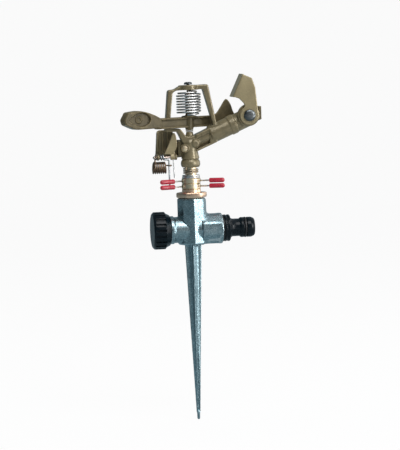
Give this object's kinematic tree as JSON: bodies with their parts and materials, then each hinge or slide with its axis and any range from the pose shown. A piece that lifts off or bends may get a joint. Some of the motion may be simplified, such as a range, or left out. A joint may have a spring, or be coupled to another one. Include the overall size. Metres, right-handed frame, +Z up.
{
  "type": "impulse sprinkler",
  "caption": "Metal impulse sprinkler with a sprung hammer arm, part-circle trip and diffuser flap, on a flow-through base with a hose nipple, an end cap and a ground spike.",
  "frame": {"origin": "on the sprinkler's vertical axis at the ground line, where the spike meets the underside of the base", "axes": "+Z up along the spike and the head's turning axis, +X towards the hose nipple and the barrel, -Y towards the diffuser's screw"},
  "size_m": [0.1308, 0.0511, 0.31],
  "materials": {
    "zinc_spike": "satin bluish zinc plating on a die casting",
    "zinc_casting": "mottled bluish grey zinc plating, semi gloss",
    "bronze_paint": "olive bronze paint on die casting, satin",
    "brass": "machined brass",
    "bright_steel": "drawn stainless wire, bright",
    "plated_screw": "blue grey zinc plated steel",
    "black_plastic": "moulded black plastic",
    "seal_rubber": "matt black seal rubber",
    "white_nylon": "natural nylon",
    "red_vinyl": "dipped red vinyl"
  },
  "bodies": {
    "base": {"ground_spike": "zinc_spike", "base_housing": "zinc_casting", "hose_adapter": "black_plastic", "adapter_o_ring": "seal_rubber", "adapter_washer": "seal_rubber", "bearing_sleeve": "brass", "thrust_washer_hard": "white_nylon", "collar_retaining_ring": "bright_steel"},
    "cap_carrier": {"end_cap_washer": "seal_rubber"},
    "cap": {"end_cap": "black_plastic"},
    "lower_collar": {"lower_trip_collar": "brass", "lower_collar_wire": "bright_steel", "lower_collar_tip_left": "red_vinyl", "lower_collar_tip_right": "red_vinyl"},
    "upper_collar": {"upper_trip_collar": "brass", "upper_collar_wire": "bright_steel", "upper_collar_tip_left": "red_vinyl", "upper_collar_tip_right": "red_vinyl"},
    "head": {"bearing_tube": "brass", "thrust_washer_soft": "seal_rubber", "spring_seat_washer": "bright_steel", "bearing_spring": "bright_steel", "sprinkler_body": "bronze_paint", "side_plug": "brass", "nozzle": "brass", "fulcrum_pin": "plated_screw", "arm_washer": "white_nylon", "arm_spring": "bright_steel", "trip_pivot_pin": "bright_steel", "toggle_spring": "bright_steel"},
    "hammer": {"hammer_arm": "bronze_paint", "arm_bush_lower": "brass", "arm_bush_upper": "brass"},
    "flap": {"deflector": "bronze_paint", "deflector_screw": "plated_screw", "deflector_washer": "white_nylon"},
    "lever": {"trip_lever": "bronze_paint", "lever_tail_wire": "bright_steel"},
    "trip": {"trip_wire": "bright_steel"}
  },
  "joints": [
    {"name": "cap_travel", "type": "slide", "parent": "base", "child": "cap_carrier", "axis": [-1, 0, 0], "range_m": [0, 0.01088]},
    {"name": "cap_turn", "type": "hinge", "parent": "cap_carrier", "child": "cap", "pos_m": [-0.0366, 0, 0.0135], "axis": [-1, 0, 0], "range_deg": [0, 2160]},
    {"name": "lower_collar_turn", "type": "hinge", "parent": "base", "child": "lower_collar", "pos_m": [0, 0, 0.0523], "axis": [0, 0, 1], "range_deg": [0, 20]},
    {"name": "upper_collar_turn", "type": "hinge", "parent": "base", "child": "upper_collar", "pos_m": [0, 0, 0.0572], "axis": [0, 0, 1], "range_deg": [0, 20]},
    {"name": "head_turn", "type": "hinge", "parent": "base", "child": "head", "pos_m": [0, 0, 0.0693], "axis": [0, 0, 1], "range_deg": [-150, 0]},
    {"name": "hammer_swing", "type": "hinge", "parent": "head", "child": "hammer", "pos_m": [0, 0, 0.1096], "axis": [0, 0, 1], "range_deg": [0, 90], "stiffness_Nm_per_rad": 0.01, "springref_deg": -28.65, "deforming": ["arm_spring"]},
    {"name": "flap_tilt", "type": "hinge", "parent": "head", "child": "flap", "pos_m": [0.0525, -0.0134, 0.1143], "axis": [0, 1, 0], "range_deg": [0, 80]},
    {"name": "trip_wire_swing", "type": "hinge", "parent": "head", "child": "trip", "pos_m": [-0.0274, -0.0022, 0.079], "axis": [1, 0, 0], "range_deg": [0, 14], "deforming": ["toggle_spring"]},
    {"name": "lever_swing", "type": "hinge", "parent": "head", "child": "lever", "pos_m": [-0.0182, -0.0022, 0.079], "axis": [1, 0, 0], "range_deg": [-14, 0]}
  ],
  "couplings": [
    {"joint": "cap_travel", "follows": "cap_turn", "m_per_rad": 0.00028871},
    {"joint": "lever_swing", "follows": "trip_wire_swing", "ratio": -1}
  ]
}
